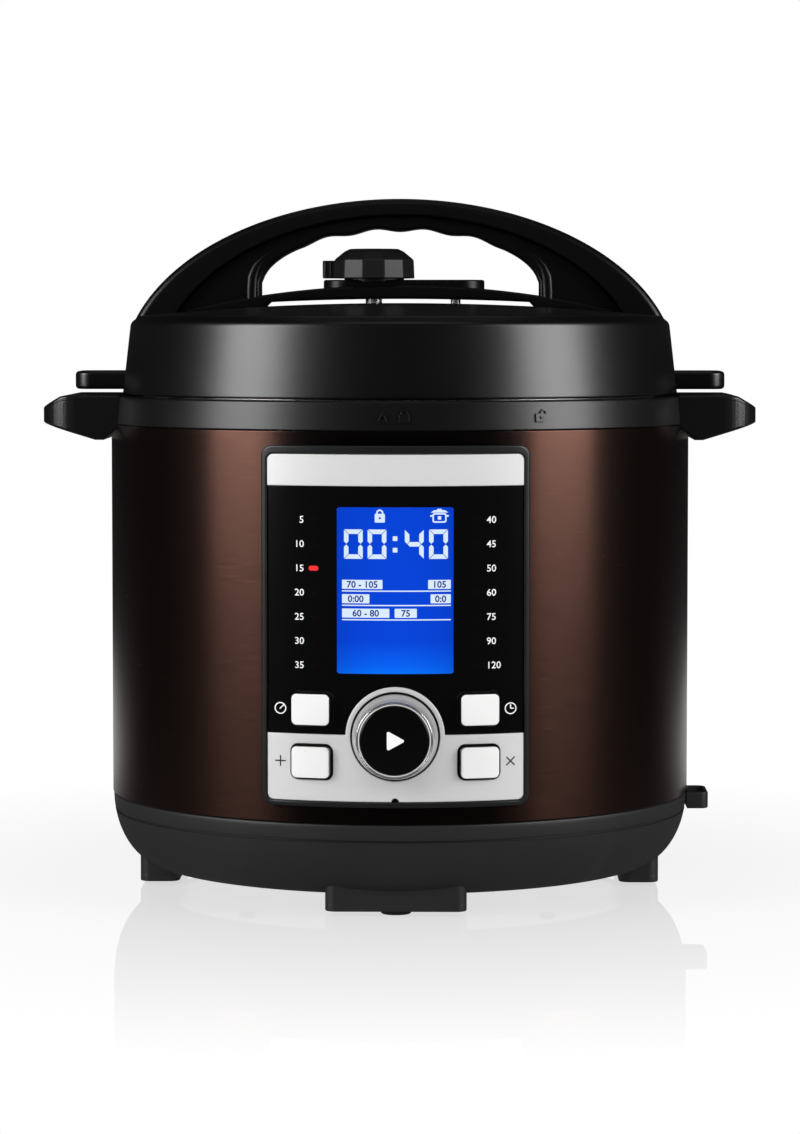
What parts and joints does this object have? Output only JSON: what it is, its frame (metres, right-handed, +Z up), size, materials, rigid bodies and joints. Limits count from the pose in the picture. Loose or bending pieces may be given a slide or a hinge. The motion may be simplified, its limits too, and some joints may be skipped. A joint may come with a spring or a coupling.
{
  "type": "electric pressure cooker",
  "caption": "Round electric pressure cooker with a bayonet lid, arched lid handle, steam valve, side handles, curved control panel with display, dial and keys, and a lift-out pot.",
  "frame": {"origin": "on the pot's vertical axis, at the surface the feet stand on", "axes": "+Z up, the control panel faces -Y, and +X is to the right as seen from the front, on the spoon holder's side"},
  "size_m": [0.342, 0.3174, 0.3305],
  "materials": {
    "black_plastic": "fine-grained satin black moulding",
    "handle_black": "smooth satin black moulding",
    "bronze_shell": "dark bronze lacquer over brushed steel",
    "steel": "brushed stainless steel",
    "aluminium": "cast and machined",
    "rubber": "matt black",
    "silicone": "translucent pale silicone",
    "bezel_dark": "gloss dark grey",
    "gloss_black": "mirror-gloss black",
    "silver_trim": "brushed silver",
    "key_silver": "pale silver lacquer",
    "chrome": "knurled and polished",
    "screen_blue": "backlit blue display behind clear plastic",
    "board_green": "solder mask",
    "parts_dark": "moulded component cases",
    "light_red": "tinted light pipes",
    "contact_metal": "plated"
  },
  "bodies": {
    "cooker": {"base_shell": "black_plastic", "rubber_feet": "rubber", "bottom_cover": "steel", "bottom_screws": "black_plastic", "spoon_holder": "black_plastic", "outer_shell": "bronze_shell", "collar": "black_plastic", "side_handles": "black_plastic", "liner": "steel", "liner_teeth": "steel", "heater_plate": "aluminium", "heater_terminals": "contact_metal", "sensor_holder": "steel", "sensor_spring": "steel", "liner_spring_plate": "steel", "spring_plate_screws": "steel", "pressure_switch": "black_plastic", "thermal_fuse": "contact_metal", "power_board": "board_green", "power_components": "parts_dark", "power_inlet": "black_plastic", "inlet_pins": "contact_metal", "cup_bracket": "black_plastic", "panel_bezel": "bezel_dark", "lower_trim": "silver_trim", "fascia": "gloss_black", "top_band": "silver_trim", "screen": "screen_blue", "screen_unit": "parts_dark", "mode_lights": "light_red", "panel_carrier": "black_plastic", "key_switches": "parts_dark", "dial_encoder": "black_plastic", "control_board": "board_green", "board_posts": "black_plastic"},
    "pot": {"inner_pot": "steel"},
    "seal": {"sealing_ring": "silicone"},
    "lid": {"lid_cover": "black_plastic", "lid_fins": "black_plastic", "lid_plate": "steel", "lid_screws": "steel", "seal_rack": "steel", "handle_arch": "handle_black", "handle_inner": "handle_black", "valve_deck": "black_plastic", "steam_pipe": "steel"},
    "valve_core": {"valve_weight": "steel"},
    "valve_grip": {"valve_knob": "handle_black"},
    "float_valve": {"float_pin": "steel", "float_seal": "silicone"},
    "shield": {"anti_block_shield": "steel"},
    "sensor": {"sensor_plunger": "aluminium"},
    "dial": {"dial_ring": "chrome"},
    "start_button": {"start_cap": "gloss_black"},
    "key_ul": {"key_upper_left": "key_silver"},
    "key_ur": {"key_upper_right": "key_silver"},
    "key_ll": {"key_lower_left": "key_silver"},
    "key_lr": {"key_lower_right": "key_silver"},
    "cup": {"condensate_cup": "black_plastic"}
  },
  "joints": [
    {"name": "pot_lift", "type": "slide", "parent": "cooker", "child": "pot", "axis": [0, 0, 1], "range_m": [0, 0.19]},
    {"name": "lid_lift", "type": "slide", "parent": "pot", "child": "seal", "axis": [0, 0, 1], "range_m": [0, 0.18]},
    {"name": "lid_turn", "type": "hinge", "parent": "seal", "child": "lid", "pos_m": [0, 0, 0.24], "axis": [0, 0, 1], "range_deg": [0, 28]},
    {"name": "valve_lift", "type": "slide", "parent": "lid", "child": "valve_core", "axis": [0, 0, 1], "range_m": [0, 0.006]},
    {"name": "valve_turn", "type": "hinge", "parent": "valve_core", "child": "valve_grip", "pos_m": [-0.0127, 0, 0.295], "axis": [0, 0, 1], "range_deg": [0, 45]},
    {"name": "float_rise", "type": "slide", "parent": "lid", "child": "float_valve", "axis": [0, 0, 1], "range_m": [0, 0.006]},
    {"name": "shield_pull", "type": "slide", "parent": "lid", "child": "shield", "axis": [0, 0, -1], "range_m": [0, 0.015]},
    {"name": "sensor_press", "type": "slide", "parent": "cooker", "child": "sensor", "axis": [0, 0, 1], "range_m": [-0.002, 0], "stiffness_N_per_m": 1500, "springref_m": 0.002, "deforming": ["sensor_spring"]},
    {"name": "dial_turn", "type": "hinge", "parent": "cooker", "child": "dial", "pos_m": [0, -0.15, 0.0845], "axis": [0, -1, 0], "continuous": true},
    {"name": "start_press", "type": "slide", "parent": "cooker", "child": "start_button", "axis": [0, 1, 0], "range_m": [0, 0.0015], "stiffness_N_per_m": 900, "springref_m": -0.001},
    {"name": "key_ul_press", "type": "slide", "parent": "cooker", "child": "key_ul", "axis": [0.2679, 0.9635, 0], "range_m": [0, 0.0012], "stiffness_N_per_m": 900, "springref_m": -0.001},
    {"name": "key_ur_press", "type": "slide", "parent": "cooker", "child": "key_ur", "axis": [-0.2679, 0.9635, 0], "range_m": [0, 0.0012], "stiffness_N_per_m": 900, "springref_m": -0.001},
    {"name": "key_ll_press", "type": "slide", "parent": "cooker", "child": "key_ll", "axis": [0.2679, 0.9635, 0], "range_m": [0, 0.0012], "stiffness_N_per_m": 900, "springref_m": -0.001},
    {"name": "key_lr_press", "type": "slide", "parent": "cooker", "child": "key_lr", "axis": [-0.2679, 0.9635, 0], "range_m": [0, 0.0012], "stiffness_N_per_m": 900, "springref_m": -0.001},
    {"name": "cup_pull", "type": "slide", "parent": "cooker", "child": "cup", "axis": [0, 1, 0], "range_m": [0, 0.04]}
  ]
}
